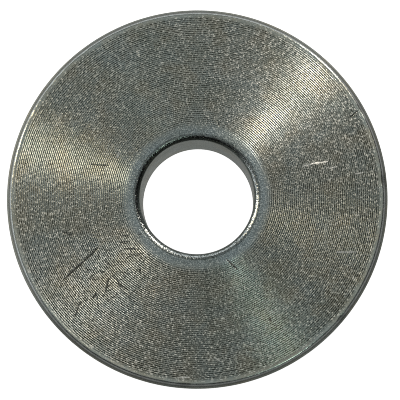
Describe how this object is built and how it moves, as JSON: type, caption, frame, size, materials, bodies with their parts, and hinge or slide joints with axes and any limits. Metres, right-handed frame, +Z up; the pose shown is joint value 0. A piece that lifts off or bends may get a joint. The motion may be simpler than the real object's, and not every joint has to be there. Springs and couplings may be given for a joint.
{
  "type": "flat washer",
  "caption": "Thick flat round washer of turned, zinc-plated steel, with chamfered edges and a plain bore that takes an M8 bolt.",
  "frame": {"origin": "centre of the lower bearing face, on the bore axis", "axes": "+Z up the bore axis, from the lower bearing face to the upper one; X and Y lie in the lower face and are equivalent, because the ring is round"},
  "size_m": [0.03, 0.03, 0.006],
  "materials": {
    "zinc_plated_steel": "turned steel with fine feed marks in rings, bright zinc plated, clear passivated"
  },
  "bodies": {
    "root": {"washer": "zinc_plated_steel"}
  },
  "joints": []
}
